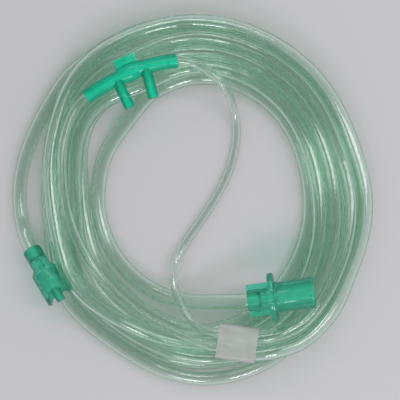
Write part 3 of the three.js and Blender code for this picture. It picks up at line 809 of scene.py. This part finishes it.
block_clear = tinted_plastic("block_clear", (0.84, 0.90, 0.84), 0.62, 1.25, 0.30, (0.88, 0.90, 0.89))
block = bar((JUNCTION_LENGTH, JUNCTION_WIDTH, JUNCTION_THICKNESS), (0, 0, 0))
corners = bmesh.new()
corners.from_mesh(block.data)
lengthwise = [e for e in corners.edges if abs(e.verts[0].co.x - e.verts[1].co.x) > JUNCTION_LENGTH / 2]
bmesh.ops.bevel(corners, geom=lengthwise, offset=JUNCTION_CORNER, segments=8, profile=0.5, affect="EDGES")
bmesh.ops.recalc_face_normals(corners, faces=corners.faces)
corners.to_mesh(block.data)
corners.free()
half_block = JUNCTION_LENGTH / 2
socket_end = SOCKET_DEPTH - TUBE_GAP + SOCKET_FLOOR
for side, line_od in ((1, SAMPLING_OD), (-1, SUPPLY_OD)):
    holes = (
        rod(JUNCTION_BORE, -half_block - PAST, half_block + PAST, 32),
        rod(THIN_OD + 2 * FIT, -half_block - PAST, -half_block + socket_end, 48),
        rod(line_od + 2 * LINE_FIT, half_block - socket_end, half_block + PAST, 48),
    )
    for hole in holes:
        hole.data.transform(Matrix.Translation((0, side * LINE_PITCH / 2, 0)))
    shaped(block, "DIFFERENCE", *holes)
moved(block, JUNCTION_PLACE, JUNCTION_TURN, 0)
moulding(block, "junction_block", "junction", block_clear, BLOCK_ROUNDING, 50)


# Nosepiece: one soft moulded piece of green vinyl, bowed along the upper lip, with a thicker bridge.
# Two curved prongs go to the nostrils, a flat tab tells which way up it is, and its ends hold the thin tubes.
ARM_OD = 0.0064
BRIDGE = (0.0175, 0.0084, 0.0070)
AIRWAY = 0.0028
PRONG_OD = 0.0048
PRONG_BORE = 0.0032
PRONG_RISE = 0.0050
TAB = (0.0098, 0.0074, 0.0013)
NOSEPIECE_HEIGHT = 0.0169
SOFT_ROUNDING = 0.0003
ARM_ROUTE = ((-0.0469, 0.0445), (-0.0398, 0.0489), (-0.0329, 0.0526), (-0.0274, 0.0554),
             (-0.0216, 0.0576), (-0.0142, 0.0594), (-0.0065, 0.0606))
PRONG_ROOTS = ((-0.0330, 0.0520), (-0.0204, 0.0572))
PRONG_TIPS = ((-0.0272, 0.0397), (-0.0168, 0.0439))


def tube_solid(places, diameter, sides):
    """A round solid along a curve through these places, closed flat at both ends."""
    path = evenly(places, 0.0006)
    way = np.gradient(path, axis=0)
    way /= np.linalg.norm(way, axis=1)[:, None]
    shape = bmesh.new()
    rings = []
    for middle, direction in zip(path, way):
        across = np.cross(direction, (0.0, 0.0, 1.0))
        across /= np.linalg.norm(across)
        up = np.cross(across, direction)
        rings.append([
            shape.verts.new(middle + diameter / 2 * (math.cos(a) * across + math.sin(a) * up))
            for a in 2 * np.pi * np.arange(sides) / sides
        ])
    for ring, following in zip(rings[:-1], rings[1:]):
        for k in range(sides):
            n = (k + 1) % sides
            shape.faces.new((ring[k], ring[n], following[n], following[k]))
    shape.faces.new(rings[0][::-1])
    shape.faces.new(rings[-1])
    return mesh_object("tube_solid", shape)


def prong_places(root, tip, further):
    """A prong's curve from the bridge, up and then forward and down to its tip."""
    base, end = on_coil(*root, NOSEPIECE_HEIGHT), on_coil(*tip, NOSEPIECE_HEIGHT)
    reach = end - base
    up = np.array((0, 0, PRONG_RISE))
    places = [base, base + reach * 0.33 + up * 0.55, base + reach * 0.66 + up * 0.9, end + up]
    return places if not further else places + [end + up + (places[3] - places[2]) * further]


arm_places = [on_coil(x, y, NOSEPIECE_HEIGHT) for x, y in ARM_ROUTE]
lean = math.degrees(math.atan2(ARM_ROUTE[4][1] - ARM_ROUTE[2][1], ARM_ROUTE[4][0] - ARM_ROUTE[2][0]))
nosepiece = tube_solid(arm_places, ARM_OD, 48)
bridge_shape = bmesh.new()
bmesh.ops.create_uvsphere(bridge_shape, u_segments=48, v_segments=32, radius=0.5)
bmesh.ops.scale(bridge_shape, vec=BRIDGE, verts=bridge_shape.verts)
bridge_piece = moved(mesh_object("bridge", bridge_shape), arm_places[3], lean, 0)
tab_piece = moved(bar(TAB, (0, TAB[1] / 2, 0)), arm_places[3], lean, 0)
shaped(nosepiece, "UNION", bridge_piece, tab_piece,
       *[tube_solid(prong_places(r, t, 0), PRONG_OD, 40) for r, t in zip(PRONG_ROOTS, PRONG_TIPS)])
shaped(
    nosepiece, "DIFFERENCE",
    *[tube_solid(prong_places(r, t, 0.5), PRONG_BORE, 32) for r, t in zip(PRONG_ROOTS, PRONG_TIPS)],
    tube_solid(arm_places, AIRWAY, 24),
)
for end, inside in ((arm_places[0], arm_places[1]), (arm_places[-1], arm_places[-2])):
    inward = (inside - end) / np.linalg.norm(inside - end)
    shaped(nosepiece, "DIFFERENCE",
           tube_solid([end - inward * PAST, end + inward * socket_end], THIN_OD + 2 * FIT, 40))
green_vinyl = tinted_plastic("green_vinyl", (0.03, 0.82, 0.56), 0.70, 1.25, 0.16, (0.70, 0.92, 0.87))
moulding(nosepiece, "nose_prongs", "nosepiece", green_vinyl, SOFT_ROUNDING, 30)
